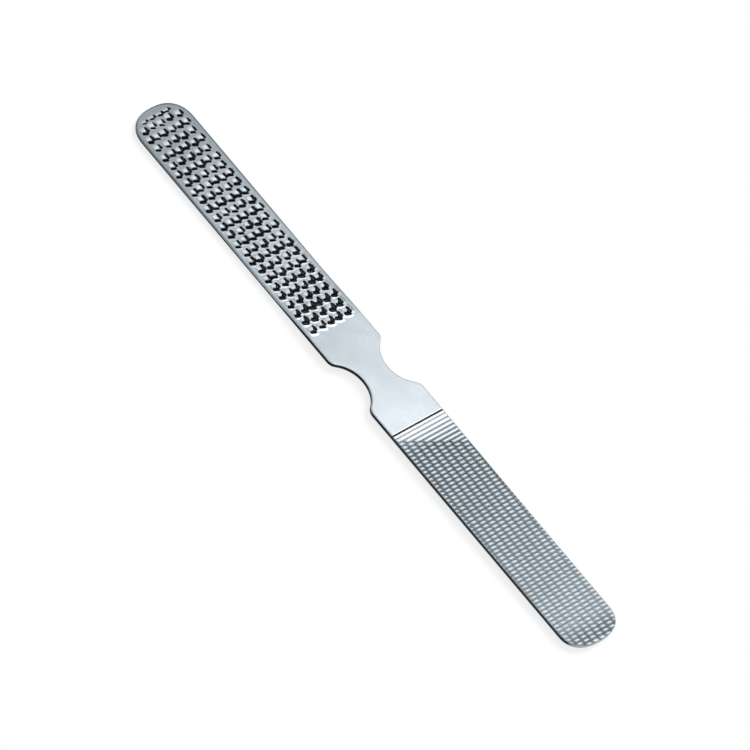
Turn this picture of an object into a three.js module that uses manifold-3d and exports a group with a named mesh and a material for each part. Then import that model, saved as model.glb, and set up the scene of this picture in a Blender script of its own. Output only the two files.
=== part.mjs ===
// A double-ended steel foot and nail file: one flat bar with a punched rasp at one end, a
// smooth waisted grip in the middle and a double-cut file at the other end.
// Millimetres, +Z up, +X towards the file end, origin under the middle of the bar.
import * as THREE from "three";
import { mergeVertices } from "three/addons/utils/BufferGeometryUtils.js";
import Module from "manifold-3d";

// The bar
const BAR_LENGTH = 180;
const BAR_WIDTH = 18;
const RASP_TIP_LENGTH = 7.7; // how far the rounded end reaches along the bar
const FILE_TIP_LENGTH = 6.6;
const TIP_SQUARENESS = 2.4; // 2 is a half ellipse, more is squarer
const TIP_STEPS = 28;

// The grip
const GRIP_THICKNESS = 1.35;
const WAIST_PLACE = 0.3; // from the middle of the bar to the middle of the waist
const WAIST_WIDTH = 8.64;
const WAIST_LENGTH = 18.4; // between the points where the two shoulders leave the straight edge
const SHOULDER_RADIUS = 2.9;
const ARC_STEPS = 8;

// The rasp blade
const RASP_START = 15.7; // from the middle of the bar
const RASP_THICKNESS = 0.95;
const RASP_RAMP = 16; // the bar thins smoothly from the grip over this length
const RASP_RAMP_STEPS = 6;

// The rasp teeth
const TOOTH_COLUMN_PITCH = 2.937; // along the bar
const TOOTH_ROWS = 6; // every other column has one fewer, and so has the one next to the grip
const TOOTH_ROW_PITCH = 2.62; // across the bar, in a full column
const SHORT_COLUMN_PITCH = 3.05; // in a column with one row fewer
const TOOTH_SHIFT = 0.4; // the rows lie this far off the middle, towards -Y
const TOOTH_START_MARGIN = 1.9; // from the start of the rasp to the first column
const TOOTH_EDGE_MARGIN = 0.85; // bare rim left inside the outline
const TOOTH_LENGTH = 1.5; // of the raised burr
const TOOTH_WIDTH = 1.9;
const TOOTH_HEIGHT = 0.34; // above the face of the blade
const TOOTH_LEAN = 0.45; // how far the point leans towards the grip
const TOOTH_SIDES = 4;
const PIT_LENGTH = 1.7; // hollow that the punch leaves in front of the point, lying across the bar
const PIT_WIDTH = 0.84;
const PIT_DEPTH = 0.3;
const PIT_SLANT = 17; // degrees
const PIT_SETBACK = 0.75; // from the middle of the burr to the middle of its pit, along the bar
const PIT_OFFSET = 0.35; // and across it
const PIT_SIDES = 6;
const GROOVE_LENGTH = 1.6; // slot that the punch's edge leaves along one side of the burr
const GROOVE_WIDTH = 0.62;
const GROOVE_DEPTH = 0.22;
const GROOVE_OFFSET = 0.74; // from the middle of the burr to the middle of its slot
const GROOVE_SIDES = 4;
const PUNCH_DRIFT = 0.18; // hand-punched teeth stray this far from their rows
const DRIFT_ALONG = { column: 1.3, row: 3.1 }; // radians of the two waves that the drift follows
const DRIFT_ACROSS = { column: 2.4, row: 1.7 };

// The file blade
const FILE_START = 16.5; // from the middle of the bar
const FILE_TIP_THICKNESS = 1.28; // the blade thins evenly from the grip

// The file cuts: straight cuts across the bar, then slanting over-cuts
const CUT_PITCH = 1.18;
const CUT_WIDTH = 0.6;
const CUT_DEPTH = 0.24;
const CUT_START_MARGIN = 0.33; // from the start of the file to the first cut
const LEAD_CUTS = 6; // cuts that grow from the lightest, next to the grip, to full size
const LEAD_DEPTH = 0.11;
const LEAD_WIDTH = 0.26;
const FIRST_DEPTH = 0.2; // the first cut bounds the file, so it is narrow but deep
const FIRST_WIDTH = 0.4;
const OVERCUT_PITCH = 1.2; // along the bar
const OVERCUT_SLOPE = 0.519; // travel along the bar for each millimetre across
const OVERCUT_START = 6.3; // from the start of the file to the first over-cut, on the centre line
const OVERCUT_WIDTH = 0.34;
const OVERCUT_DEPTH = 0.18;
const CUT_TIP_MARGIN = 0.7; // bare rim left at the end

// Cutting solids reach this far past the faces that they cut, and burrs sink into their blade
const OVERSHOOT = 1;
const PIT_OVERSHOOT = 0.09;
const BURR_ROOT = 0.17;
const WELD = 1e-4; // corners closer than this are one corner

const wasm = await Module();
wasm.setup();

const HALF_LENGTH = BAR_LENGTH / 2;
const HALF_WIDTH = BAR_WIDTH / 2;

function solidFrom(geometry) {
  const bare = geometry.clone();
  bare.deleteAttribute("normal");
  bare.deleteAttribute("uv");
  const merged = mergeVertices(bare, WELD);
  const mesh = new wasm.Mesh({
    numProp: 3,
    vertProperties: merged.attributes.position.array,
    triVerts: new Uint32Array(merged.index.array),
  });
  return new wasm.Manifold(mesh);
}

function geometryFrom(solid) {
  const mesh = solid.getMesh();
  const geometry = new THREE.BufferGeometry();
  geometry.setAttribute("position", new THREE.BufferAttribute(mesh.vertProperties, 3));
  geometry.setIndex(new THREE.BufferAttribute(mesh.triVerts, 1));
  geometry.computeVertexNormals();
  return geometry;
}

function join(solids) {
  return solids.reduce((whole, piece) => whole.add(piece));
}

// Half the bar's width at a place x, with the end rounded to a superellipse.
function halfWidthAt(x, tipLength) {
  const intoTip = Math.max(0, x - (HALF_LENGTH - tipLength)) / tipLength;
  if (intoTip >= 1) return 0;
  return HALF_WIDTH * (1 - intoTip ** TIP_SQUARENESS) ** (1 / TIP_SQUARENESS);
}

// The plan of one blade, from its square end at x = start to its rounded tip on the +X side.
function bladePlan(start, tipLength) {
  const plan = new THREE.Shape();
  plan.moveTo(start, HALF_WIDTH);
  plan.lineTo(start, -HALF_WIDTH);
  for (let i = 0; i <= TIP_STEPS; i++) {
    const turn = Math.PI * (i / TIP_STEPS - 0.5);
    const along = Math.abs(Math.cos(turn)) ** (2 / TIP_SQUARENESS);
    const across = Math.sign(Math.sin(turn)) * Math.abs(Math.sin(turn)) ** (2 / TIP_SQUARENESS);
    plan.lineTo(HALF_LENGTH - tipLength + tipLength * along, HALF_WIDTH * across);
  }
  plan.closePath();
  return plan;
}

// A blade whose top follows a line of [x, height] points: its plan and its side view, crossed.
function bladeBlank(tipLength, top) {
  const start = top[0][0];
  const tallest = Math.max(...top.map(([, height]) => height));
  const planDepth = tallest + 2 * OVERSHOOT;
  const outline = bladePlan(start, tipLength);
  const plan = new THREE.ExtrudeGeometry(outline, { depth: planDepth, bevelEnabled: false });
  plan.translate(0, 0, -OVERSHOOT);
  const side = new THREE.Shape();
  side.moveTo(start - OVERSHOOT, 0);
  side.lineTo(HALF_LENGTH + OVERSHOOT, 0);
  side.lineTo(HALF_LENGTH + OVERSHOOT, top.at(-1)[1]);
  for (const [x, height] of [...top].reverse()) side.lineTo(x, height);
  side.lineTo(start - OVERSHOOT, top[0][1]);
  side.closePath();
  const sideDepth = BAR_WIDTH + 2 * OVERSHOOT;
  const profile = new THREE.ExtrudeGeometry(side, { depth: sideDepth, bevelEnabled: false });
  profile.rotateX(Math.PI / 2);
  profile.translate(0, sideDepth / 2, 0);
  return solidFrom(plan).intersect(solidFrom(profile));
}

// The height of a top line at a place x.
function heightOn(top, x) {
  const place = top.findIndex(([end]) => x < end);
  if (place === 0) return top[0][1];
  if (place < 0) return top.at(-1)[1];
  const [x0, z0] = top[place - 1];
  const [x1, z1] = top[place];
  return z0 + ((z1 - z0) * (x - x0)) / (x1 - x0);
}

// The neck: straight edges that round over two shoulders into a hollow on each side.
function neckPlan() {
  const reach = WAIST_LENGTH / 2;
  const hollowDepth = (BAR_WIDTH - WAIST_WIDTH) / 2;
  const radii = (reach ** 2 + hollowDepth ** 2) / (2 * hollowDepth);
  const hollowRadius = radii - SHOULDER_RADIUS;
  const sweep = Math.atan2(reach, radii - hollowDepth);
  const shoulderY = HALF_WIDTH - SHOULDER_RADIUS;
  const hollowY = WAIST_WIDTH / 2 + hollowRadius;
  const down = -Math.PI / 2;
  const up = Math.PI / 2;
  const left = WAIST_PLACE - reach;
  const right = WAIST_PLACE + reach;
  const plan = new THREE.Shape();
  plan.moveTo(-RASP_START, -HALF_WIDTH);
  plan.lineTo(left, -HALF_WIDTH);
  plan.absarc(left, -shoulderY, SHOULDER_RADIUS, down, down + sweep, false);
  plan.absarc(WAIST_PLACE, -hollowY, hollowRadius, up + sweep, up - sweep, true);
  plan.absarc(right, -shoulderY, SHOULDER_RADIUS, down - sweep, down, false);
  plan.lineTo(FILE_START, -HALF_WIDTH);
  plan.lineTo(FILE_START, HALF_WIDTH);
  plan.absarc(right, shoulderY, SHOULDER_RADIUS, up, up + sweep, false);
  plan.absarc(WAIST_PLACE, hollowY, hollowRadius, down + sweep, down - sweep, true);
  plan.absarc(left, shoulderY, SHOULDER_RADIUS, up - sweep, up, false);
  plan.lineTo(-RASP_START, HALF_WIDTH);
  plan.closePath();
  return plan;
}

function makeNeck() {
  const settings = { depth: GRIP_THICKNESS, bevelEnabled: false, curveSegments: ARC_STEPS };
  return geometryFrom(solidFrom(new THREE.ExtrudeGeometry(neckPlan(), settings)));
}

// Where each rasp tooth stands, as [x, y], column by column from the grip to the tip.
function toothPlaces() {
  const places = [];
  const lastColumn = HALF_LENGTH - TOOTH_EDGE_MARGIN - TOOTH_LENGTH / 2;
  let column = 0;
  for (let x = RASP_START + TOOTH_START_MARGIN; x <= lastColumn; x += TOOTH_COLUMN_PITCH) {
    const short = column === 0 || column % 2 === 1;
    const rows = short ? TOOTH_ROWS - 1 : TOOTH_ROWS;
    const pitch = short ? SHORT_COLUMN_PITCH : TOOTH_ROW_PITCH;
    for (let row = 0; row < rows; row++) {
      const driftX = PUNCH_DRIFT * Math.sin(DRIFT_ALONG.column * column + DRIFT_ALONG.row * row);
      const driftY = PUNCH_DRIFT * Math.sin(DRIFT_ACROSS.column * column + DRIFT_ACROSS.row * row);
      const y = TOOTH_SHIFT + (row - (rows - 1) / 2) * pitch + driftY;
      const room = halfWidthAt(x + TOOTH_LENGTH / 2, RASP_TIP_LENGTH) - TOOTH_EDGE_MARGIN;
      if (Math.abs(y) <= room) places.push([x + driftX, y]);
    }
    column += 1;
  }
  return places;
}

// A raised burr, a four-sided cone whose point leans back towards the grip.
function toothBurr() {
  const burr = new THREE.ConeGeometry(1, TOOTH_HEIGHT + BURR_ROOT, TOOTH_SIDES);
  burr.rotateX(Math.PI / 2);
  burr.scale(TOOTH_LENGTH / 2, TOOTH_WIDTH / 2, 1);
  burr.translate(0, 0, (TOOTH_HEIGHT - BURR_ROOT) / 2);
  burr.applyMatrix4(new THREE.Matrix4().makeShear(0, 0, 0, 0, -TOOTH_LEAN / TOOTH_HEIGHT, 0));
  return burr;
}

// A hollow in the face: a cone with its point down, stretched along and across the bar.
function hollow(halfLength, halfWidth, depth, sides) {
  const rise = 1 + PIT_OVERSHOOT / depth;
  const cone = new THREE.ConeGeometry(rise, depth * rise, sides);
  cone.rotateX(-Math.PI / 2);
  cone.scale(halfLength, halfWidth, 1);
  cone.translate(0, 0, (depth * rise) / 2 - depth);
  return cone;
}

// The hollow in front of the point.
function toothPit() {
  const pit = hollow(PIT_WIDTH / 2, PIT_LENGTH / 2, PIT_DEPTH, PIT_SIDES);
  pit.rotateZ(-THREE.MathUtils.degToRad(PIT_SLANT));
  return pit.translate(-PIT_SETBACK, PIT_OFFSET, 0);
}

// The slot along one side of the burr.
function toothGroove() {
  const groove = hollow(GROOVE_LENGTH / 2, GROOVE_WIDTH / 2, GROOVE_DEPTH, GROOVE_SIDES);
  return groove.translate(0, -GROOVE_OFFSET, 0);
}

// The rasp is made pointing along +X, then turned to lie on the -X side of the grip.
function makeRasp() {
  const top = [];
  for (let i = 0; i <= RASP_RAMP_STEPS; i++) {
    const share = i / RASP_RAMP_STEPS;
    const drop = THREE.MathUtils.smoothstep(share, 0, 1) * (GRIP_THICKNESS - RASP_THICKNESS);
    top.push([RASP_START + share * RASP_RAMP, GRIP_THICKNESS - drop]);
  }
  top.push([HALF_LENGTH, RASP_THICKNESS]);
  const burrs = [];
  const pits = [];
  for (const [x, y] of toothPlaces()) {
    const z = heightOn(top, x);
    burrs.push(solidFrom(toothBurr().translate(x, y, z)));
    pits.push(solidFrom(toothPit().translate(x, y, z)));
    pits.push(solidFrom(toothGroove().translate(x, y, z)));
  }
  const blade = bladeBlank(RASP_TIP_LENGTH, top).add(join(burrs)).subtract(join(pits));
  return geometryFrom(blade).rotateZ(Math.PI);
}

// A V-shaped cutter that crosses the bar at a slant and follows the blade's top.
function cutter(x, slope, width, depth, top) {
  const rise = 1 + OVERSHOOT / depth;
  const notch = new THREE.Shape();
  notch.moveTo(0, -depth);
  notch.lineTo((width / 2) * rise, OVERSHOOT);
  notch.lineTo((-width / 2) * rise, OVERSHOOT);
  notch.closePath();
  const acrossBar = BAR_WIDTH + 2 * OVERSHOOT;
  const reach = acrossBar * Math.hypot(1, slope);
  const wedge = new THREE.ExtrudeGeometry(notch, { depth: reach, bevelEnabled: false });
  wedge.rotateX(Math.PI / 2);
  wedge.translate(0, reach / 2, 0);
  wedge.rotateZ(-Math.atan(slope));
  wedge.translate(x, 0, 0);
  const points = wedge.attributes.position;
  for (let i = 0; i < points.count; i++) {
    points.setZ(i, points.getZ(i) + heightOn(top, points.getX(i)));
  }
  return solidFrom(wedge);
}

function makeFile() {
  const top = [
    [FILE_START, GRIP_THICKNESS],
    [HALF_LENGTH, FILE_TIP_THICKNESS],
  ];
  const cuts = [];
  const lastCut = HALF_LENGTH - CUT_TIP_MARGIN;
  const firstCut = FILE_START + CUT_START_MARGIN;
  for (let i = 0; firstCut + i * CUT_PITCH <= lastCut; i++) {
    const growth = Math.min(1, i / LEAD_CUTS);
    const width = i === 0 ? FIRST_WIDTH : LEAD_WIDTH + (CUT_WIDTH - LEAD_WIDTH) * growth;
    const depth = i === 0 ? FIRST_DEPTH : LEAD_DEPTH + (CUT_DEPTH - LEAD_DEPTH) * growth;
    cuts.push(cutter(firstCut + i * CUT_PITCH, 0, width, depth, top));
  }
  const overcuts = [];
  const lastOvercut = lastCut + OVERCUT_SLOPE * HALF_WIDTH;
  const firstOvercut = FILE_START + OVERCUT_START;
  for (let x = firstOvercut; x <= lastOvercut; x += OVERCUT_PITCH) {
    overcuts.push(cutter(x, OVERCUT_SLOPE, OVERCUT_WIDTH, OVERCUT_DEPTH, top));
  }
  const blank = bladeBlank(FILE_TIP_LENGTH, top);
  return geometryFrom(blank.subtract(join(cuts)).subtract(join(overcuts)));
}

function steelPiece(name, geometry, color, roughness) {
  const finish = new THREE.MeshStandardMaterial({ color, roughness, metalness: 1 });
  const piece = new THREE.Mesh(geometry, finish);
  piece.name = name;
  return piece;
}

const nailFile = new THREE.Group();
nailFile.add(steelPiece("rasp_blade", makeRasp(), 0xaeb4ba, 0.42));
nailFile.add(steelPiece("neck", makeNeck(), 0xd6dade, 0.3));
nailFile.add(steelPiece("file_blade", makeFile(), 0xe2e5e8, 0.34));

export default nailFile;
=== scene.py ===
import math

import bpy
import numpy as np
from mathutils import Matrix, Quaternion, Vector


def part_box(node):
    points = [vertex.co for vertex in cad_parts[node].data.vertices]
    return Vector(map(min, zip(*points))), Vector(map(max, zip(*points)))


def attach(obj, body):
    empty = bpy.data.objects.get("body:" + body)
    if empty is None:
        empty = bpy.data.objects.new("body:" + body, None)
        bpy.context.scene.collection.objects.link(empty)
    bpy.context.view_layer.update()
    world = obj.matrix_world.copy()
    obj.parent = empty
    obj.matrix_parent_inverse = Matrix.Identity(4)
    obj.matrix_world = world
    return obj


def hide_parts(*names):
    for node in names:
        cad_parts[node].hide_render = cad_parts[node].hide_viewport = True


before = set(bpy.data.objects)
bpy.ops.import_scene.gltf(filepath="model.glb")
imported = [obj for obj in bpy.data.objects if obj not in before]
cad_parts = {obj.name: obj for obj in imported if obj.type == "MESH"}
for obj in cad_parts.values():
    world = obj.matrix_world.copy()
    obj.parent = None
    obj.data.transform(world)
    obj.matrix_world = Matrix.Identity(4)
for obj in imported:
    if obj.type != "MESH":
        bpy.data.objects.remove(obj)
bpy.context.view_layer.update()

# The bar is worked out in millimetres and turned to metres where its meshes are made.
MM = 0.001

# The bar's main sizes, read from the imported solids
neck_low, neck_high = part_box("neck")
RASP_START = -neck_low.x / MM
FILE_START = neck_high.x / MM
HALF_WIDTH = neck_high.y / MM
GRIP_THICKNESS = neck_high.z / MM
HALF_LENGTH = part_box("file_blade")[1].x / MM

# The outline
RASP_TIP_LENGTH = 7.7
FILE_TIP_LENGTH = 6.6
TIP_SQUARENESS = 2.4  # 2 would make the tips plain half ellipses
WAIST_PLACE = 0.3
WAIST_WIDTH = 8.64
WAIST_LENGTH = 18.4
SHOULDER_RADIUS = 2.9
EDGE_ROUND = 0.22  # the softened edge that plating and tumbling leave
RASP_EDGE_ROUND = 0.34  # the thin rasp end is rounded further
LOWER_EDGE = ((0.0, 1.0), (0.3, 0.3), (1.0, 0.0))  # inwards and up, as shares of the rounding

# Thickness along the bar
RASP_THICKNESS = 0.95
RASP_RAMP = 16.0  # the bar thins smoothly from the grip over this length
FILE_TIP_THICKNESS = 1.28

# Rasp teeth
TOOTH_COLUMN_PITCH = 2.937
TOOTH_ROWS = 6
TOOTH_ROW_PITCH = 2.62
SHORT_COLUMN_PITCH = 3.05  # short columns have one row less, farther apart
TOOTH_SHIFT = 0.4
TOOTH_START_MARGIN = 1.9
TOOTH_EDGE_MARGIN = 0.85
TOOTH_LENGTH = 1.5
TOOTH_HEIGHT = 0.24
PIT_DEPTH = 0.3
HEAVIEST = 6.0  # the punch struck hardest this far from the grip, and less and less over these reaches
HEAVY_REACH_GRIP = 12.0
HEAVY_REACH_TIP = 30.0
PUNCH_DRIFT = 0.18  # how far a tooth may be off its place, by sines of its column and row
DRIFT_ALONG = (1.3, 3.1)
DRIFT_ACROSS = (2.4, 1.7)
PUNCH_REACH = 1.9  # one blow changes the face no farther than this, along and across
LAST_SHIFT = 0.8  # the last column before the tip is shifted towards the grip and squeezed
LAST_SQUEEZE = 1.8

# The burr of a tooth. Its places, and those of the mark, are (towards the grip, towards +Y).
BURR_MIDDLE = (-0.4, -0.2)
BURR_RADIUS = 1.15
BURR_SLOPE = 1.4  # it climbs towards the grip over this length
BURR_FLATNESS = 1.8  # over 1, the round swelling has a flat top
BURR_FADE = 0.6  # it dies out over this width near the outline
WIDE_TIP_BURR = 0.3  # burrs by the tip are this much wider, and lower by this share
LOW_TIP_BURR = 0.25

# The mark beside each burr: a slot along its +Y side, a corner, and a pit that slants back across
# its end. Half widths in pairs are those of the lightest and the hardest blow.
SLOT_START = (-0.85, 0.84)
SLOT_END = (0.0, 0.86)
SLOT_HALF = 0.54
SLOT_FLARE = 0.08  # the slot is this much wider at its end
CORNER_HALF = (0.16, 0.4)
PIT_START = (0.73, 0.2)
PIT_END = (0.38, -0.72)
LONG_PIT_END = (0.3, -0.95)  # half way along the rasp the pits reach the next row
PIT_HALF = (0.42, 0.6)
BLOW_START = (-0.5, 0.5)  # where the punch struck hardest, slot and pit run into one deep hole
BLOW_END = (0.65, -0.35)
BLOW_HALF = (-0.28, 0.42)  # there is none below 0
BARE_RIM = 0.9  # the marks die out this close to the outline
LIGHT_TIP = 0.05  # marks shrink by up to this towards the tip, over this last share of the length
LIGHT_TIP_SHARE = 0.2
SLIM_TIP = 0.22  # and their slots start narrower by up to this, over this last share
SLIM_TIP_SHARE = 0.35
UNEVEN_BLOW = 0.08  # how much a mark may be wider or narrower, by a sine of its place
UNEVEN_TURNS = (5.1, 3.7)
WALL_REACH = 0.16  # how far the sloping walls of a mark reach
FLOOR_START = 0.3  # the floor of a wide mark lies this far inside it
FLOOR_REACH = 0.25

# The pushed-up lip round each mark, and the painted highlight on it
LIP_REACH = 0.5
LIP_HEIGHT = 0.1
LIP_LEAST = 0.2  # how bright its painted highlight is by the tip, and what its place and the blow add to that
LIP_FROM_TIP = 0.3
LIP_BY_BLOW = 0.4
LIP_BY_GRIP = 0.4
GRIP_LIPS = 11.0  # this near the grip the lips carry a brighter painted highlight, and are wider by up to this much
GRIP_LIP_REACH = 0.3

# Painted shade and painted highlight on the rasp's plating, where 1 is the hollow or the raised colour
PIT_DARKENING = 3.0  # a mark's painted shade is full from a third of its depth
PIT_FLOOR_SHINE = 0.08  # its floor's painted shade is a little lighter
BURR_HIGHLIGHT = 1.5  # a burr's painted highlight is full from two thirds of its height
RIM_SHADE = (0.22, 0.92)  # painted shade along the rim, least by the grip and most from this far on
RIM_SHADE_LENGTH = 50.0
RIM_SHADE_REACH = 0.35
RIM_SHADE_EDGE = 1.3  # over 1, the shaded line starts with an even stretch
FAR_SHADE_REACH = 0.8  # it is wider along the +Y side
NEAR_SHADE = 0.7  # and keeps this share along the -Y side
TIP_SHADE = 0.2  # painted shade all over near the tip, from this far from the bar's middle
TIP_SHADE_START = 58.0
TIP_SHADE_REACH = 20.0
TIP_SHADE_SPARED = 0.7  # the share of it that raised places are spared

# File cuts
CUT_PITCH = 1.18
CUT_WIDTH = 0.74
CUT_DEPTH = 0.18
CUT_START_MARGIN = 0.33
CUT_TIP_MARGIN = 0.7
LEAD_CUTS = 6  # the lead cuts are light and grow to full size
LEAD_WIDTH = 0.52
LEAD_DEPTH = 0.06
LEAD_REACH = 13.0  # the plating stays brighter between them
FIRST_WIDTH = 0.56  # the very first cut is one deep line
FIRST_DEPTH = 0.22
FIRST_SHIFT = 0.2
OVERCUT_PITCH = 1.2
OVERCUT_SLOPE = 0.519  # how far an over-cut moves along the bar for each millimetre across it
OVERCUT_START = 6.95
OVERCUT_WIDTH = 0.6
OVERCUT_DEPTH = 0.13
NOTCH_LEAN = 0.2  # how much each notch in a ridge follows the slant, where 0 is straight across it
TIP_SHALLOW = 0.35  # cuts and over-cuts are shallower by this share towards the tip
TIP_FADE = 8.0  # what changes towards the tip goes back over this last stretch, to this share
TIP_FADE_LEAST = 0.3

# Painted shade in the cuts, where 1 is the hollow colour
CUT_DARKENING = 1.8  # over 1, a cut's painted shade is full before its full depth
LEAD_CUT_SHADE = 0.36
CUT_SHADE_GAIN = 0.16  # full cuts are this much darker than lead cuts, and lighter by this towards the tip
CUT_SHADE_TIP_LOSS = 0.42
OVERCUT_SHADE = 0.72
OVERCUT_TIP_LOSS = 0.46
LEAD_OVERCUT_SHADE = 0.4  # the share of it where the first over-cuts cross the lead cuts
TIP_LAND_DARKENING = 0.1  # the ridges are this much darker towards the tip

# Surfaces. Real brush lines and scratches are finer: they are drawn as coarse as they need to show.
STREAK_WIDTH = 0.2
STREAK_BUMP = 0.25
CLOUD_SIZE = 9.0  # soft lighter and darker patches in the plating
CLOUD_TONE = (0.93, 1.05)
SATIN_ROUGHNESS = (0.25, 0.37)
HOLLOW_ROUGHNESS = 0.25  # what is added to it down in the cuts
SCRATCH_WIDTH = 0.25
SCRATCH_LENGTH = 2.0
SCRATCH_DEPTH = 0.01
SCRATCH_BUMP = 0.3
EDGE_ROUGHNESS = (0.38, 0.52)
NOISE_RANGE = (0.3, 0.7)  # most of a noise texture lies in this range
WORN_RANGE = (0.5, 0.75)  # and this part of it is rubbed
END_HIGHLIGHT_START = 0.4  # a side gets a painted highlight where it faces along the bar by this share and more
END_HIGHLIGHT_GAIN = 3.0

# Fineness of the meshes
EDGE_STEPS = (0.0, 0.01, 0.04, 0.09, 0.15, 0.3, 0.5)  # rows of points inside the rounded edge
ACROSS_STEP = 0.16
RASP_STEP = 0.11
POINTS_PER_CUT = 12
LEAD_LINES = (0.0, 0.06, 0.13, 0.23)  # lines of points before the first file cut
TIP_LINES_MARGIN = 0.5  # lines across bend towards the tip from this far before its curve
TIP_ROWS = 75
NECK_STEP = 0.2
NECK_ROWS = 24
SHARP_ANGLE = 35.0
FACE_METAL = 0  # places in a piece's list of metals
EDGE_METAL = 1
TINY = 1e-9

# The photograph's view
PHOTO_SIDE_PX = 750
PIXELS_PER_MM = 4.004
BAR_MIDDLE_PX = (375.4, 372.2)
VIEW_AZIMUTH = 22.5
VIEW_ELEVATION = 48.7
VIEW_ROLL = 32.54  # the photograph is turned this far clockwise
CAMERA_DISTANCE = 7.5
SENSOR_WIDTH = 36.0

# The studio, in metres and degrees
FLOOR_GLOW = 0.745
FLOOR_HALF_SIDE = 4.0
FLOOR_DROP = 0.00005  # the floor lies just clear of the underside
CARD_RADIUS = 0.6
CARD_LOW = 0.02
CARD_HIGH = 0.36
CARD_SIDES = 24
BLACK_HALF_ARC = 55.0
WHITE_HALF_ARC = 125.0
WHITE_GLOW = 0.15
ROOM_LIGHT = 0.42
SOFTBOX_HEIGHT = 0.25
WINDOW_LIGHT = 2.9
WINDOW_ANGLE = 24.0
WINDOW_DIRECTION = (0.2, -0.89, -0.407)


def node(tree, kind, inputs=None, **settings):
    """Adds a node, sets its settings, and sets or links its inputs."""
    made = tree.nodes.new(kind)
    for name, value in settings.items():
        setattr(made, name, value)
    for name, value in (inputs or {}).items():
        if isinstance(value, bpy.types.NodeSocket):
            tree.links.new(value, made.inputs[name])
        else:
            made.inputs[name].default_value = value
    return made


def colour(hex_code):
    """An sRGB hex value as linear red, green, blue and alpha."""
    parts = [int(hex_code[i : i + 2], 16) / 255 for i in (1, 3, 5)]
    linear = [p / 12.92 if p <= 0.04045 else ((p + 0.055) / 1.055) ** 2.4 for p in parts]
    return (*linear, 1.0)


def blend(start, end, share):
    """The value at a share of the way from start to end."""
    return start + (end - start) * share


# Materials


def new_material(name):
    """A material with no nodes yet, and its node tree."""
    material = bpy.data.materials.new(name)
    material.use_nodes = True
    material.node_tree.nodes.clear()
    return material, material.node_tree


def nickel_plate(name, face, hollow, ridge, streak_length, grain_depth):
    """Nickel plate over steel, brushed along the bar: a soft satin shine drawn out along fine streaks,
    slightly blue-grey, with painted shade in the hollow colour and a lighter raised colour, which on the
    rasp is a painted highlight on the burrs and lips."""
    material, tree = new_material(name)
    place = node(tree, "ShaderNodeTexCoord").outputs["Object"]
    along, across = (1 / (size * MM) for size in (streak_length, STREAK_WIDTH))
    drawn_out = node(tree, "ShaderNodeMapping", {"Vector": place, "Scale": (along, across, across)})
    streaks = node(
        tree,
        "ShaderNodeTexNoise",
        {"Vector": drawn_out.outputs["Vector"], "Scale": 1.0, "Detail": 3.0, "Roughness": 0.6},
    )
    clouds = node(
        tree,
        "ShaderNodeTexNoise",
        {"Vector": place, "Scale": 1 / (CLOUD_SIZE * MM), "Detail": 2.0},
    )
    depth = node(tree, "ShaderNodeAttribute", attribute_name="hollow")
    height = node(tree, "ShaderNodeAttribute", attribute_name="ridge")
    tone = node(
        tree,
        "ShaderNodeMapRange",
        {
            "Value": clouds.outputs["Fac"],
            "From Min": NOISE_RANGE[0],
            "From Max": NOISE_RANGE[1],
            "To Min": CLOUD_TONE[0],
            "To Max": CLOUD_TONE[1],
        },
    )
    bright = node(
        tree,
        "ShaderNodeMix",
        {"Factor": 1.0, "A": colour(face), "B": tone.outputs["Result"]},
        data_type="RGBA",
        blend_type="MULTIPLY",
    )
    # Painted highlight on raised places, then painted shade in the hollows
    wear_and_highlight = node(
        tree,
        "ShaderNodeMix",
        {"Factor": height.outputs["Fac"], "A": bright.outputs["Result"], "B": colour(ridge)},
        data_type="RGBA",
    )
    metal = node(
        tree,
        "ShaderNodeMix",
        {"Factor": depth.outputs["Fac"], "A": wear_and_highlight.outputs["Result"], "B": colour(hollow)},
        data_type="RGBA",
    )
    satin = node(
        tree,
        "ShaderNodeMapRange",
        {
            "Value": streaks.outputs["Fac"],
            "From Min": NOISE_RANGE[0],
            "From Max": NOISE_RANGE[1],
            "To Min": SATIN_ROUGHNESS[0],
            "To Max": SATIN_ROUGHNESS[1],
        },
    )
    dull = node(
        tree,
        "ShaderNodeMath",
        {0: depth.outputs["Fac"], 1: HOLLOW_ROUGHNESS, 2: satin.outputs["Result"]},
        operation="MULTIPLY_ADD",
    )
    bump = node(
        tree,
        "ShaderNodeBump",
        {"Height": streaks.outputs["Fac"], "Strength": STREAK_BUMP, "Distance": grain_depth * MM},
    )
    shader = node(
        tree,
        "ShaderNodeBsdfPrincipled",
        {
            "Base Color": metal.outputs["Result"],
            "Metallic": 1.0,
            "Roughness": dull.outputs["Value"],
            "Specular Tint": metal.outputs["Result"],  # the painted shade stays dark at a glancing angle too
            "Normal": bump.outputs["Normal"],
        },
    )
    node(tree, "ShaderNodeOutputMaterial", {"Surface": shader.outputs["BSDF"]})
    return material


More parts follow.
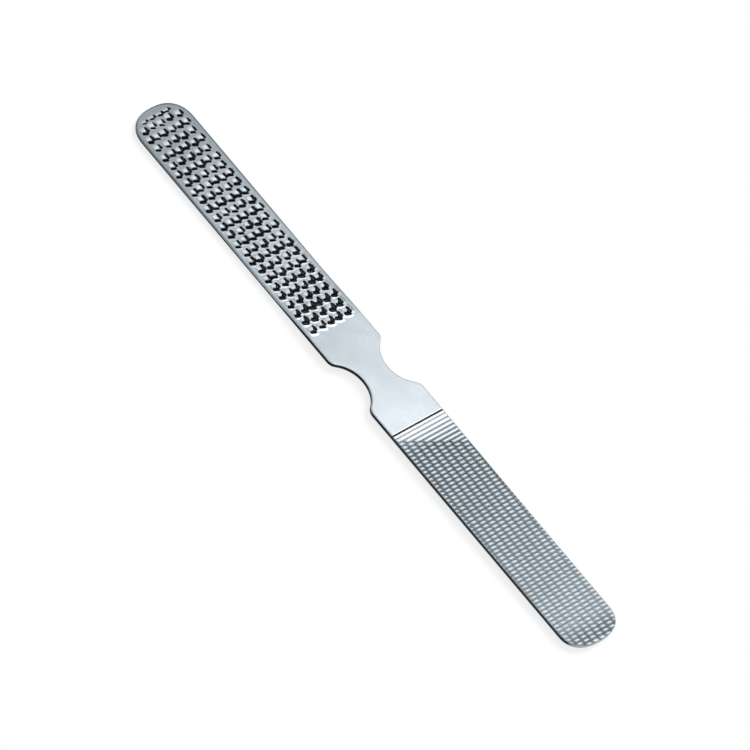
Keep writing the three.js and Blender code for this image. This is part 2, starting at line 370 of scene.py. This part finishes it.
def shaded_edge(name, face, worn, end_highlight):
    """Steel edge whose dark colour is painted shade: barely shiny, with short upright scratches and
    lighter rubbed places, and a painted highlight where the rounded ends face along the bar."""
    material, tree = new_material(name)
    place = node(tree, "ShaderNodeTexCoord").outputs["Object"]
    upright, across = (1 / (size * MM) for size in (SCRATCH_LENGTH, SCRATCH_WIDTH))
    drawn_out = node(tree, "ShaderNodeMapping", {"Vector": place, "Scale": (across, across, upright)})
    scratches = node(
        tree,
        "ShaderNodeTexNoise",
        {"Vector": drawn_out.outputs["Vector"], "Scale": 1.0, "Detail": 3.0},
    )
    wear_and_highlight = node(
        tree,
        "ShaderNodeMapRange",
        {
            "Value": scratches.outputs["Fac"],
            "From Min": WORN_RANGE[0],
            "From Max": WORN_RANGE[1],
            "To Min": 0.0,
            "To Max": 1.0,
        },
    )
    shade_and_wear = node(
        tree,
        "ShaderNodeMix",
        {"Factor": wear_and_highlight.outputs["Result"], "A": colour(face), "B": colour(worn)},
        data_type="RGBA",
    )
    # Painted highlight where the rounded ends face along the bar
    end = node(tree, "ShaderNodeAttribute", attribute_name="end_highlight")
    metal = node(
        tree,
        "ShaderNodeMix",
        {"Factor": end.outputs["Fac"], "A": shade_and_wear.outputs["Result"], "B": colour(end_highlight)},
        data_type="RGBA",
    )
    shine = node(
        tree,
        "ShaderNodeMapRange",
        {
            "Value": scratches.outputs["Fac"],
            "From Min": NOISE_RANGE[0],
            "From Max": NOISE_RANGE[1],
            "To Min": EDGE_ROUGHNESS[0],
            "To Max": EDGE_ROUGHNESS[1],
        },
    )
    bump = node(
        tree,
        "ShaderNodeBump",
        {"Height": scratches.outputs["Fac"], "Strength": SCRATCH_BUMP, "Distance": SCRATCH_DEPTH * MM},
    )
    shader = node(
        tree,
        "ShaderNodeBsdfPrincipled",
        {
            "Base Color": metal.outputs["Result"],
            "Metallic": 1.0,
            "Roughness": shine.outputs["Result"],
            "Normal": bump.outputs["Normal"],
        },
    )
    node(tree, "ShaderNodeOutputMaterial", {"Surface": shader.outputs["BSDF"]})
    return material


# Shapes


def rounding(inside, radius):
    """How far the top drops at a distance inside the outline."""
    short = np.clip(radius - inside, 0, radius)
    return radius - np.sqrt(radius**2 - short**2)


def across_lines(half):
    """Places across the bar, from -half to half, closer together in the rounded edges."""
    inner = half - EDGE_STEPS[-1]
    count = round(2 * inner / ACROSS_STEP)
    middle = np.linspace(-inner, inner, count + 1)
    edge = half - np.array(EDGE_STEPS[:-1])
    return np.concatenate([-edge, middle, edge[::-1]])


def rounded(share):
    """The curve of the tips: how much of one half axis is left at a share of the other."""
    return (1 - np.clip(share, 0, 1) ** TIP_SQUARENESS) ** (1 / TIP_SQUARENESS)


def inside_blade(x, y, tip_length):
    """Distance from a blade's outline, for points inside it."""
    along = np.clip((x - HALF_LENGTH + tip_length) / tip_length, TINY, None)
    across = np.clip(np.abs(y) / HALF_WIDTH, TINY, None)
    power = TIP_SQUARENESS
    level = (along**power + across**power) ** (1 / power)
    slope_x = level ** (1 - power) * along ** (power - 1) / tip_length
    slope_y = level ** (1 - power) * across ** (power - 1) / HALF_WIDTH
    to_tip = (1 - level) / np.hypot(slope_x, slope_y)
    to_side = HALF_WIDTH - np.abs(y)
    return np.clip(np.where(along > TINY, to_tip, to_side), 0, None)


def blade_grid(body_lines, tip_length):
    """Points over a blade's top: straight lines across its body, then lines that bend into the tip."""
    y = across_lines(HALF_WIDTH)
    body = np.repeat(body_lines[:, None], len(y), 1)
    near_end = 1 - np.array(EDGE_STEPS[::-1]) / (HALF_LENGTH - body_lines[-1])
    share = np.concatenate([np.linspace(0, near_end[0], TIP_ROWS)[1:], near_end[1:]])
    tip_ends = HALF_LENGTH - tip_length + tip_length * rounded(np.abs(y) / HALF_WIDTH)
    reach = tip_ends - body_lines[-1]
    tip = body_lines[-1] + share[:, None] * reach[None, :]
    x = np.concatenate([body, tip])
    return x, np.repeat(y[None, :], len(x), 0)


def closed_bar(name, x, y, z, marks, inward, square_end, turn, metals):
    """A solid from a grid of top points: it adds the side walls, the rounded lower edge and the
    underside. marks are named values at the top points. square_end says whether the far end is
    cut square too. turn is 1 or -1, and -1 turns the piece half round about the upright axis.
    metals are those of the faces and of the edges."""
    rows, columns = x.shape
    index = np.arange(rows * columns).reshape(rows, columns)
    points = [np.stack([x, y, z], -1).reshape(-1, 3)]
    faces = []
    kinds = []

    quads = np.stack([index[:-1, :-1], index[1:, :-1], index[1:, 1:], index[:-1, 1:]], -1)
    faces += quads.reshape(-1, 4).tolist()
    kinds += [FACE_METAL] * (len(faces) - len(kinds))

    # The rim runs from the near end up the -Y side, round the far end and back down the +Y side
    far_end = index[-1, -1:] if square_end else index[-1, 1:]
    rim = np.concatenate([index[:, 0], far_end, index[-2::-1, -1]])
    rim_points = points[0][rim]
    count = len(rim)
    inset = inward(rim_points)
    rings = [rim]
    for inwards, up in LOWER_EDGE:
        ring = rim_points.copy()
        ring[:, :2] += inset * inwards * EDGE_ROUND
        ring[:, 2] = up * EDGE_ROUND
        rings.append(np.arange(count) + sum(len(p) for p in points))
        points.append(ring)
    last_side = rows - 1
    end_side = last_side + len(far_end)
    for upper, lower in zip(rings, rings[1:]):
        walls = np.stack([upper[:-1], lower[:-1], lower[1:], upper[1:]], -1)
        if square_end:
            walls = np.delete(walls, np.s_[last_side:end_side], 0)
        faces += walls.tolist()
    kinds += [EDGE_METAL] * (len(faces) - len(kinds))

    # The underside: strips from side to side, then the far end
    floor = rings[-1]
    left = floor[:rows]
    right = floor[::-1][:rows]
    faces += np.stack([left[:-1], right[:-1], right[1:], left[1:]], -1).tolist()
    if not square_end:
        faces.append(floor[last_side : end_side + 1][::-1].tolist())
    kinds += [FACE_METAL] * (len(faces) - len(kinds))

    # The square ends
    near = index[0].tolist() + [ring[-1] for ring in rings[1:]] + [ring[0] for ring in rings[:0:-1]]
    faces.append(near)
    if square_end:
        down = [ring[last_side] for ring in rings[1:]]
        up = [ring[end_side] for ring in rings[:0:-1]]
        faces.append(index[-1, ::-1].tolist() + down + up)
    kinds += [EDGE_METAL] * (len(faces) - len(kinds))

    points = np.concatenate(points) * MM
    points[:, :2] *= turn
    mesh = bpy.data.meshes.new(name)
    mesh.from_pydata(points.tolist(), [], faces)
    for metal in metals:
        mesh.materials.append(metal)
    mesh.polygons.foreach_set("material_index", kinds)
    mesh.polygons.foreach_set("use_smooth", [True] * len(faces))
    mesh.set_sharp_from_angle(angle=math.radians(SHARP_ANGLE))
    for mark, values in marks.items():
        made = mesh.attributes.new(mark, "FLOAT", "POINT")
        made.data.foreach_set("value", np.pad(values.ravel(), (0, len(points) - values.size)))
    # A painted highlight on the edge walls that face along the bar, round the ends
    end_highlight = np.zeros(len(points))
    if not square_end:
        for ring in rings:
            end_highlight[ring] = np.clip(END_HIGHLIGHT_GAIN * (np.abs(inset[:, 0]) - END_HIGHLIGHT_START), 0, 1)
    made = mesh.attributes.new("end_highlight", "FLOAT", "POINT")
    made.data.foreach_set("value", end_highlight)
    piece = bpy.data.objects.new(name, mesh)
    bpy.context.scene.collection.objects.link(piece)
    return piece


def blade_inward(rim):
    """Directions into the blade from its rim, seen from above."""
    ahead = np.roll(rim, -1, 0)[:, :2] - np.roll(rim, 1, 0)[:, :2]
    ahead /= np.linalg.norm(ahead, axis=1)[:, None]
    inset = np.stack([-ahead[:, 1], ahead[:, 0]], -1)
    inset[0] = (0, 1)
    inset[-1] = (0, -1)
    return inset


# The rasp end


def tooth_places():
    """Where each rasp tooth stands, column by column from the grip to the tip."""
    places = []
    columns = np.arange(
        RASP_START + TOOTH_START_MARGIN,
        HALF_LENGTH - TOOTH_EDGE_MARGIN - TOOTH_LENGTH / 2,
        TOOTH_COLUMN_PITCH,
    )
    for column, x in enumerate(columns):
        short = column == 0 or column % 2 == 1
        rows = TOOTH_ROWS - 1 if short else TOOTH_ROWS
        pitch = SHORT_COLUMN_PITCH if short else TOOTH_ROW_PITCH
        into_tip = (x + TOOTH_LENGTH / 2 - HALF_LENGTH + RASP_TIP_LENGTH) / RASP_TIP_LENGTH
        room = HALF_WIDTH * rounded(into_tip) - TOOTH_EDGE_MARGIN
        for row in range(rows):
            drift_x = PUNCH_DRIFT * math.sin(DRIFT_ALONG[0] * column + DRIFT_ALONG[1] * row)
            drift_y = PUNCH_DRIFT * math.sin(DRIFT_ACROSS[0] * column + DRIFT_ACROSS[1] * row)
            y = TOOTH_SHIFT + (row - (rows - 1) / 2) * pitch + drift_y
            if abs(y) <= room:
                places.append((x + drift_x, y))
    return places


def along_line(u, v, start, end):
    """How far along the straight line between two places the nearest point is, as a share of it."""
    run_u = end[0] - start[0]
    run_v = end[1] - start[1]
    share = ((u - start[0]) * run_u + (v - start[1]) * run_v) / (run_u**2 + run_v**2)
    return np.clip(share, 0, 1)


def from_line(u, v, start, end):
    """Distance from the straight line between two places."""
    share = along_line(u, v, start, end)
    return np.hypot(u - blend(start[0], end[0], share), v - blend(start[1], end[1], share))


def burr_height(u, v, slim):
    """Height of a tooth's burr: a flat-topped swelling that climbs towards the grip."""
    radius = BURR_RADIUS + WIDE_TIP_BURR * slim
    swelling = 1 - ((u - BURR_MIDDLE[0]) / radius) ** 2 - ((v - BURR_MIDDLE[1]) / radius) ** 2
    climb = np.clip(1 + u / BURR_SLOPE, 0, 1)
    return TOOTH_HEIGHT * (1 - LOW_TIP_BURR * slim) * climb * np.clip(BURR_FLATNESS * swelling, 0, 1)


def outside_mark(u, v, heavy, slim):
    """Distance outside the outline of a tooth's mark, below 0 inside it."""
    taper = SLIM_TIP * slim
    slot_half = SLOT_HALF - taper + (SLOT_FLARE + taper) * along_line(u, v, SLOT_START, SLOT_END)
    short = max(heavy, slim)
    pit_end = [blend(far, near, short) for far, near in zip(LONG_PIT_END, PIT_END)]
    outside = from_line(u, v, SLOT_START, SLOT_END) - slot_half
    outside = np.minimum(outside, from_line(u, v, SLOT_END, PIT_START) - blend(*CORNER_HALF, heavy))
    outside = np.minimum(outside, from_line(u, v, PIT_START, pit_end) - blend(*PIT_HALF, heavy))
    return np.minimum(outside, from_line(u, v, BLOW_START, BLOW_END) - blend(*BLOW_HALF, heavy))


def rasp_relief(x, y, rim):
    """Rise and fall of the punched face, the lips round the marks with their painted highlight, and the
    floors of the widest ones, whose painted shade is lighter. u runs towards the grip and v towards +Y."""
    rise = np.zeros_like(x)
    fall = np.zeros_like(x)
    lip = np.zeros_like(x)
    deep = np.zeros_like(x)
    for tooth_x, tooth_y in tooth_places():
        near = (np.abs(x - tooth_x) < PUNCH_REACH) & (np.abs(y - tooth_y) < PUNCH_REACH)
        u = tooth_x - x[near]
        v = tooth_y - y[near]
        if HALF_LENGTH - tooth_x < TOOTH_COLUMN_PITCH + PUNCH_DRIFT:
            u = (u - LAST_SHIFT) * LAST_SQUEEZE
        past = tooth_x - RASP_START - HEAVIEST
        heavy = max(0, 1 - (past / HEAVY_REACH_TIP if past > 0 else -past / HEAVY_REACH_GRIP))
        by_grip = max(0, 1 - (tooth_x - RASP_START) / GRIP_LIPS)
        from_tip = (HALF_LENGTH - tooth_x) / (HALF_LENGTH - RASP_START)
        slim = max(0, 1 - from_tip / SLIM_TIP_SHARE)

        burr = burr_height(u, v, slim) * np.clip((rim[near] - BARE_RIM) / BURR_FADE + 0.5, 0, 1)
        outside = outside_mark(u, v, heavy, slim)
        outside += np.clip(BARE_RIM - rim[near], 0, None)
        outside += LIGHT_TIP * max(0, 1 - from_tip / LIGHT_TIP_SHARE)
        outside += UNEVEN_BLOW * math.sin(UNEVEN_TURNS[0] * tooth_x + UNEVEN_TURNS[1] * tooth_y)
        pushed_up = np.clip(1 - outside / (LIP_REACH + GRIP_LIP_REACH * by_grip), 0, 1)
        brightness = LIP_LEAST + LIP_FROM_TIP * from_tip + LIP_BY_BLOW * heavy + LIP_BY_GRIP * by_grip
        pushed_up *= min(1, brightness)

        rise[near] = np.maximum(rise[near], burr)
        fall[near] = np.maximum(fall[near], PIT_DEPTH * np.clip(-outside / WALL_REACH, 0, 1))
        lip[near] = np.maximum(lip[near], pushed_up)
        deep[near] = np.maximum(deep[near], np.clip((-outside - FLOOR_START) / FLOOR_REACH, 0, 1))
    return rise, fall, lip, deep


def make_rasp(metals):
    """The rasp end, worked out along +X and turned half round, so that -y here is its +Y side."""
    body = np.arange(RASP_START, HALF_LENGTH - RASP_TIP_LENGTH - TIP_LINES_MARGIN, RASP_STEP)
    x, y = blade_grid(body, RASP_TIP_LENGTH)
    rim = inside_blade(x, y, RASP_TIP_LENGTH)
    rise, fall, lip, deep = rasp_relief(x, y, rim)
    # Painted shade in the marks, a little lighter on the floors of the widest ones
    dark = np.clip(PIT_DARKENING * fall / PIT_DEPTH, 0, 1)
    rise = np.maximum(rise, LIP_HEIGHT * lip) * (1 - dark)
    share = np.clip((x - RASP_START) / RASP_RAMP, 0, 1)
    top = blend(GRIP_THICKNESS, RASP_THICKNESS, share**2 * (3 - 2 * share))
    radius = blend(EDGE_ROUND, RASP_EDGE_ROUND, share)
    z = top - np.maximum(rounding(rim, radius), fall) + rise

    # Painted highlight on the burrs and the lips
    ridge = np.maximum(np.clip(BURR_HIGHLIGHT * rise / TOOTH_HEIGHT, 0, 1), lip)
    # Painted shade towards the tip, lighter on raised places
    tip_shade = TIP_SHADE * np.clip((x - TIP_SHADE_START) / TIP_SHADE_REACH, 0, 1) * (1 - TIP_SHADE_SPARED * ridge)
    # Painted shade along the rim, wider along the +Y side
    far_side = np.clip(0.5 - y / HALF_WIDTH, 0, 1)
    dull = blend(*RIM_SHADE, np.clip((x - RASP_START) / RIM_SHADE_LENGTH, 0, 1))
    dull *= blend(NEAR_SHADE, 1, far_side)
    reach = blend(RIM_SHADE_REACH, FAR_SHADE_REACH, far_side)
    dull *= np.clip(RIM_SHADE_EDGE * (1 - rim / reach), 0, 1)
    hollow = np.maximum(dark - PIT_FLOOR_SHINE * deep, np.maximum(tip_shade, dull))
    marks = {"hollow": hollow, "ridge": ridge}
    return closed_bar("rasp_end", x, y, z, marks, blade_inward, False, -1, metals)


# The file end


def file_relief(x, y):
    """Depth of the file cuts and of the notches that the over-cuts leave, the painted shade in them, and
    the bright plating left before the over-cuts start."""
    towards_tip = (x - FILE_START) / (HALF_LENGTH - FILE_START)
    towards_tip *= np.clip((HALF_LENGTH - x) / TIP_FADE, TIP_FADE_LEAST, 1)
    shallow = 1 - TIP_SHALLOW * towards_tip
    bright = 1 - TIP_LAND_DARKENING * towards_tip

    first = FILE_START + CUT_START_MARGIN
    last = math.floor((HALF_LENGTH - CUT_TIP_MARGIN - first) / CUT_PITCH)
    number = np.clip(np.round((x - first) / CUT_PITCH), 0, last)
    off = np.abs(x - first - np.where(number == 0, FIRST_SHIFT, number * CUT_PITCH))
    growth = np.clip(number / LEAD_CUTS, 0, 1)
    width = np.where(number == 0, FIRST_WIDTH, blend(LEAD_WIDTH, CUT_WIDTH, growth))
    depth = np.where(number == 0, FIRST_DEPTH, blend(LEAD_DEPTH, CUT_DEPTH, growth))
    share = np.clip(1 - off / (width / 2), 0, 1)
    cut = depth * share * shallow
    # Painted shade in the cuts
    cut_shade = LEAD_CUT_SHADE + (CUT_SHADE_GAIN - CUT_SHADE_TIP_LOSS * towards_tip) * growth
    cut_shade = np.where(number == 0, 1.0, cut_shade)
    bright *= 1 - cut_shade * np.clip(CUT_DARKENING * share, 0, 1)

    ridge = first + (np.floor((x - first) / CUT_PITCH) + 0.5) * CUT_PITCH
    along = ridge + NOTCH_LEAN * (x - ridge) - OVERCUT_SLOPE * y - FILE_START - OVERCUT_START
    number = np.clip(np.round(along / OVERCUT_PITCH), 0, None)
    off = np.abs(along - number * OVERCUT_PITCH) / math.hypot(1, OVERCUT_SLOPE)
    share = np.clip(1 - off / (OVERCUT_WIDTH / 2), 0, 1)
    notch = OVERCUT_DEPTH * share * shallow
    # Painted shade in the over-cut notches
    cut_shade = (OVERCUT_SHADE - OVERCUT_TIP_LOSS * towards_tip) * blend(LEAD_OVERCUT_SHADE, 1, growth)
    bright *= 1 - cut_shade * np.clip(CUT_DARKENING * share, 0, 1)

    before_overcuts = np.clip(-along / OVERCUT_PITCH, 0, 1)
    uncut = before_overcuts * np.clip(1 - (x - FILE_START) / LEAD_REACH, 0, 1)
    return np.maximum(cut, notch), 1 - bright, uncut


def make_file(metals):
    """The file end, which thins evenly towards its tip."""
    first = FILE_START + CUT_START_MARGIN
    body = np.arange(first, HALF_LENGTH - FILE_TIP_LENGTH - TIP_LINES_MARGIN, CUT_PITCH / POINTS_PER_CUT)
    body = np.concatenate([FILE_START + np.array(LEAD_LINES), body])
    x, y = blade_grid(body, FILE_TIP_LENGTH)
    fall, dark, uncut = file_relief(x, y)
    share = (x - FILE_START) / (HALF_LENGTH - FILE_START)
    top = blend(GRIP_THICKNESS, FILE_TIP_THICKNESS, share)
    z = top - np.maximum(rounding(inside_blade(x, y, FILE_TIP_LENGTH), EDGE_ROUND), fall)
    marks = {"hollow": dark, "ridge": uncut}
    return closed_bar("file_end", x, y, z, marks, blade_inward, False, 1, metals)


# The grip


def neck_half_width(x):
    """Half the neck's width: straight, over a round shoulder, and down into the hollow."""
    reach = WAIST_LENGTH / 2
    hollow_depth = HALF_WIDTH - WAIST_WIDTH / 2
    radii = (reach**2 + hollow_depth**2) / (2 * hollow_depth)
    hollow_radius = radii - SHOULDER_RADIUS
    meet = hollow_radius * reach / radii
    off = np.abs(x - WAIST_PLACE)
    from_shoulder = np.clip(reach - off, 0, SHOULDER_RADIUS)
    shoulder = HALF_WIDTH - SHOULDER_RADIUS + np.sqrt(SHOULDER_RADIUS**2 - from_shoulder**2)
    in_hollow = np.clip(off, 0, hollow_radius)
    hollow = WAIST_WIDTH / 2 + hollow_radius - np.sqrt(hollow_radius**2 - in_hollow**2)
    return np.where(off < meet, hollow, shoulder)


def neck_slope(x):
    """How fast half the neck's width grows along the bar."""
    step = 0.01
    return (neck_half_width(x + step) - neck_half_width(x - step)) / (2 * step)


def neck_inward(rim):
    """Directions into the neck from its rim, seen from above."""
    side = -np.sign(rim[:, 1])
    lean = neck_slope(rim[:, 0])
    inset = np.stack([lean, side], -1)
    inset /= np.linalg.norm(inset, axis=1)[:, None]
    at_end = (rim[:, 0] <= -RASP_START + TINY) | (rim[:, 0] >= FILE_START - TINY)
    inset[at_end, 0] = 0
    return inset


def make_neck(metals):
    """The smooth waisted grip."""
    count = round((RASP_START + FILE_START) / NECK_STEP)
    line = np.linspace(-RASP_START, FILE_START, count + 1)
    half = neck_half_width(line)
    lean = np.hypot(1, neck_slope(line))
    edge = half[:, None] - lean[:, None] * np.array(EDGE_STEPS)
    middle = edge[:, -1:] * np.linspace(-1, 1, NECK_ROWS + 1)[None, 1:-1]
    y = np.concatenate([-edge, middle, edge[:, ::-1]], 1)
    x = np.repeat(line[:, None], y.shape[1], 1)
    inside = (half[:, None] - np.abs(y)) / lean[:, None]
    z = GRIP_THICKNESS - rounding(inside, EDGE_ROUND)
    return closed_bar("waisted_grip", x, y, z, {}, neck_inward, True, 1, metals)


# Stage


def make_camera():
    """A long lens far off, with the bar at the photograph's own place, scale and turn."""
    azimuth = math.radians(VIEW_AZIMUTH)
    elevation = math.radians(VIEW_ELEVATION)
    back = Vector(
        (
            math.sin(azimuth) * math.cos(elevation),
            -math.cos(azimuth) * math.cos(elevation),
            math.sin(elevation),
        )
    )
    lens = bpy.data.cameras.new("photo_camera")
    lens.sensor_width = SENSOR_WIDTH
    lens.lens = SENSOR_WIDTH * CAMERA_DISTANCE / (PHOTO_SIDE_PX / PIXELS_PER_MM * MM)
    turn = (-back).to_track_quat("-Z", "Y")
    turn = turn @ Quaternion((0, 0, 1), math.radians(VIEW_ROLL))
    right = turn @ Vector((1, 0, 0))
    up = turn @ Vector((0, 1, 0))
    pixel = MM / PIXELS_PER_MM
    middle = Vector((0, 0, GRIP_THICKNESS * MM))
    aim = middle - right * (BAR_MIDDLE_PX[0] - PHOTO_SIDE_PX / 2) * pixel
    aim += up * (BAR_MIDDLE_PX[1] - PHOTO_SIDE_PX / 2) * pixel
    camera = bpy.data.objects.new("photo_camera", lens)
    camera.location = aim + back * CAMERA_DISTANCE
    camera.rotation_mode = "QUATERNION"
    camera.rotation_quaternion = turn
    bpy.context.scene.collection.objects.link(camera)
    bpy.context.scene.camera = camera


def stage_mesh(name, points, faces, material):
    """A piece of the studio with one material."""
    mesh = bpy.data.meshes.new(name)
    mesh.from_pydata(points, [], faces)
    mesh.materials.append(material)
    piece = bpy.data.objects.new(name, mesh)
    bpy.context.scene.collection.objects.link(piece)
    return piece


def make_floor():
    """A white paper floor: bright to the eye and in reflections, and still shaded by the bar."""
    material, tree = new_material("white_paper_floor")
    rays = node(tree, "ShaderNodeLightPath")
    seen = node(
        tree,
        "ShaderNodeMath",
        {0: rays.outputs["Is Camera Ray"], 1: rays.outputs["Is Glossy Ray"]},
        operation="MAXIMUM",
    )
    seen = node(
        tree,
        "ShaderNodeMath",
        {0: seen.outputs["Value"], 1: rays.outputs["Is Transmission Ray"]},
        operation="MAXIMUM",
    )
    glow = node(
        tree,
        "ShaderNodeMath",
        {0: seen.outputs["Value"], 1: FLOOR_GLOW},
        operation="MULTIPLY",
    )
    lit = node(tree, "ShaderNodeBsdfDiffuse", {"Color": colour("#a0a0a0")})
    white = node(
        tree,
        "ShaderNodeEmission",
        {"Color": colour("#ffffff"), "Strength": glow.outputs["Value"]},
    )
    both = node(tree, "ShaderNodeAddShader", {0: lit.outputs["BSDF"], 1: white.outputs["Emission"]})
    node(tree, "ShaderNodeOutputMaterial", {"Surface": both.outputs["Shader"]})
    side = FLOOR_HALF_SIDE
    corners = [(-side, -side), (side, -side), (side, side), (-side, side)]
    points = [(x, y, -FLOOR_DROP) for x, y in corners]
    floor = stage_mesh("floor", points, [(0, 1, 2, 3)], material)


def make_card(name, hex_code, glow, middle, half_arc):
    """A low curved card that stands round part of the table, and which only reflections see."""
    material, tree = new_material(name)
    shader = node(
        tree,
        "ShaderNodeBsdfPrincipled",
        {
            "Base Color": colour(hex_code),
            "Specular IOR Level": 0.0,
            "Emission Color": colour(hex_code),
            "Emission Strength": glow,
        },
    )
    node(tree, "ShaderNodeOutputMaterial", {"Surface": shader.outputs["BSDF"]})
    angles = np.radians(np.linspace(middle - half_arc, middle + half_arc, CARD_SIDES + 1))
    arc = [(CARD_RADIUS * math.cos(angle), CARD_RADIUS * math.sin(angle)) for angle in angles]
    points = [(x, y, height) for height in (CARD_LOW, CARD_HIGH) for x, y in arc]
    faces = [(i, i + 1, i + 1 + len(arc), i + len(arc)) for i in range(CARD_SIDES)]
    card = stage_mesh(name, points, faces, material)
    card.visible_camera = False
    card.visible_diffuse = False
    card.visible_shadow = False


def make_cards():
    """A black card across the table from the camera darkens the steep sides of the teeth and cuts,
    and a white one round the rest of the table brightens the metal seen from other sides."""
    across = 90 + VIEW_AZIMUTH
    make_card("black_card", "#313132", 0.0, across, BLACK_HALF_ARC)
    make_card("white_card", "#f2f4f6", WHITE_GLOW, across + 180, WHITE_HALF_ARC)


def make_lights():
    """A pale room, three softboxes overhead that only shine in the metal, and a far window that
    only lights the floor, where it gives the bar its shadow."""
    world = bpy.data.worlds.new("pale_room")
    world.use_nodes = True
    room = world.node_tree.nodes["Background"]
    room.inputs["Color"].default_value = colour("#f6f9ff")
    room.inputs["Strength"].default_value = ROOM_LIGHT
    bpy.context.scene.world = world
    for name, x, y, width, depth, radiance in (
        ("overhead_softbox", 0.04, 0.205, 0.216, 0.31, 1.52),
        ("middle_softbox", -0.115, 0.205, 0.08, 0.31, 0.45),
        ("side_softbox", -0.3, 0.25, 0.15, 0.26, 1.15),
    ):
        softbox = bpy.data.lights.new(name, "AREA")
        softbox.shape = "RECTANGLE"
        softbox.size = width
        softbox.size_y = depth
        softbox.energy = radiance * math.pi * width * depth
        lamp = bpy.data.objects.new(name, softbox)
        lamp.location = (x, y, SOFTBOX_HEIGHT)
        lamp.visible_diffuse = False
        bpy.context.scene.collection.objects.link(lamp)
    window = bpy.data.lights.new("far_window", "SUN")
    window.energy = WINDOW_LIGHT
    window.angle = math.radians(WINDOW_ANGLE)
    lamp = bpy.data.objects.new("far_window", window)
    lamp.rotation_euler = Vector(WINDOW_DIRECTION).to_track_quat("-Z", "Y").to_euler()
    lamp.visible_glossy = False
    bpy.context.scene.collection.objects.link(lamp)


make_camera()
make_floor()
make_cards()
make_lights()
bpy.context.scene.view_settings.view_transform = "Standard"

# Each metal's colours. An edge's dark colour is painted shade, its worn colour is wear, and its third
# colour is a painted highlight on the ends. A face is flat, its hollow colour is painted shade, and its
# raised colour is lighter, a painted highlight on the rasp's burrs and lips.
edge = shaded_edge("shaded_steel_edge", "#0a0d0f", "#181c1f", "#b0b9be")
file_edge = shaded_edge("shaded_filed_steel_edge", "#22292d", "#343c40", "#b0b9be")
plain = ("#d2dade", "#5a6468", "#e6e9eb")
punched = ("#c8d3d8", "#020c11", "#f2f8fa")
cut = ("#bfc9ce", "#2c393f", "#e6ebed")
grip_metal = nickel_plate("satin_nickel_plate_brushed", *plain, streak_length=7.0, grain_depth=0.003)
rasp_metal = nickel_plate("nickel_plate_punched", *punched, streak_length=5.0, grain_depth=0.006)
file_metal = nickel_plate("nickel_plate_double_cut", *cut, streak_length=5.0, grain_depth=0.004)

for piece, node_name, slot in (
    (make_rasp([rasp_metal, edge]), "rasp_blade", "rasp_steel"),
    (make_neck([grip_metal, edge]), "neck", "grip_steel"),
    (make_file([file_metal, file_edge]), "file_blade", "file_steel"),
):
    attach(piece, "root")
    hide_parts(node_name)
